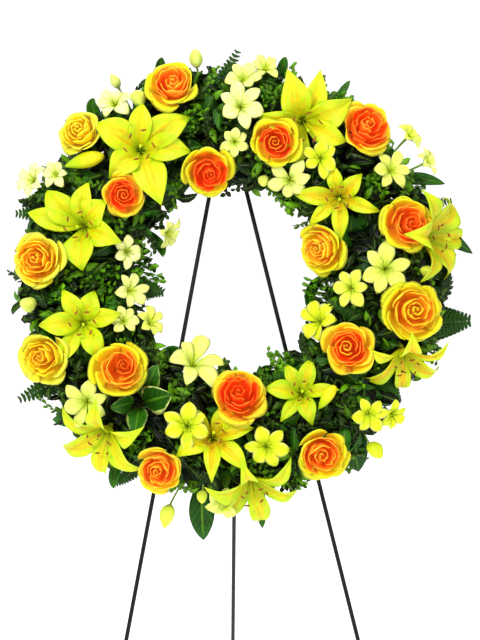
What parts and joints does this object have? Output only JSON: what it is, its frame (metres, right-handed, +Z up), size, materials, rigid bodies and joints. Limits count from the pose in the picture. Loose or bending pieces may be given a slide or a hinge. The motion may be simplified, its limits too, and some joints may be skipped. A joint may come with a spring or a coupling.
{
  "type": "funeral wreath on a wire easel",
  "caption": "Open funeral wreath of roses, lilies and alstroemeria over dark greenery on a floral foam ring, leaning on a folding three-legged wire easel.",
  "frame": {"origin": "on the floor, under the middle of the bounding box", "axes": "+Z up; the wreath faces -Y and leans back; +X is to the right seen from the front; the rear leg stands towards +Y"},
  "size_m": [0.6538, 0.6728, 1.2908],
  "materials": {
    "rose_orange": "soft fresh petals, red-orange heart to yellow rim",
    "rose_gold": "soft fresh petals, orange heart to golden rim",
    "rose_yellow": "soft fresh petals, golden heart to pale yellow rim",
    "lily": "satin fresh petals, lemon yellow with golden streaks in the throat",
    "alstroemeria": "satin fresh petals, cream to pale lime",
    "foliage": "dark green leaves, waxy to matte",
    "floral_foam": "soaked open-cell floral foam",
    "tray_plastic": "moulded dark green plastic",
    "easel_wire": "near-black green enamel on round wire"
  },
  "bodies": {
    "stand": {"foam_ring": "floral_foam", "ring_tray": "tray_plastic", "rose_01": "rose_orange", "rose_02": "rose_orange", "rose_03": "rose_orange", "rose_04": "rose_orange", "rose_05": "rose_orange", "rose_06": "rose_orange", "rose_07": "rose_gold", "rose_08": "rose_gold", "rose_09": "rose_orange", "rose_10": "rose_orange", "rose_11": "rose_orange", "rose_12": "rose_orange", "rose_13": "rose_orange", "rose_14": "rose_gold", "rose_15": "rose_yellow", "rose_16": "rose_yellow", "lily_01": "lily", "lily_02": "lily", "lily_03": "lily", "lily_04": "lily", "lily_05": "lily", "lily_06": "lily", "lily_07": "lily", "lily_08": "lily", "lily_09": "lily", "lily_10": "lily", "lily_11": "lily", "alstroemeria_01": "alstroemeria", "alstroemeria_02": "alstroemeria", "alstroemeria_03": "alstroemeria", "alstroemeria_04": "alstroemeria", "alstroemeria_05": "alstroemeria", "alstroemeria_06": "alstroemeria", "alstroemeria_07": "alstroemeria", "alstroemeria_08": "alstroemeria", "alstroemeria_09": "alstroemeria", "alstroemeria_10": "alstroemeria", "alstroemeria_11": "alstroemeria", "alstroemeria_12": "alstroemeria", "alstroemeria_13": "alstroemeria", "alstroemeria_14": "alstroemeria", "alstroemeria_15": "alstroemeria", "alstroemeria_16": "alstroemeria", "alstroemeria_17": "alstroemeria", "alstroemeria_18": "alstroemeria", "greenery_1": "foliage", "greenery_2": "foliage", "greenery_3": "foliage", "greenery_4": "foliage", "greenery_5": "foliage", "greenery_6": "foliage", "wreath_rest": "easel_wire", "top_tie": "easel_wire", "hinge_staple": "easel_wire", "easel_leg_left": "easel_wire", "easel_leg_right": "easel_wire"},
    "rear_leg": {"easel_leg_rear": "easel_wire"}
  },
  "joints": [
    {"name": "rear_leg_fold", "type": "hinge", "parent": "stand", "child": "rear_leg", "pos_m": [-0.01912, -0.15967, 0.74008], "axis": [1, 0, 0], "range_deg": [-45, 0]}
  ]
}
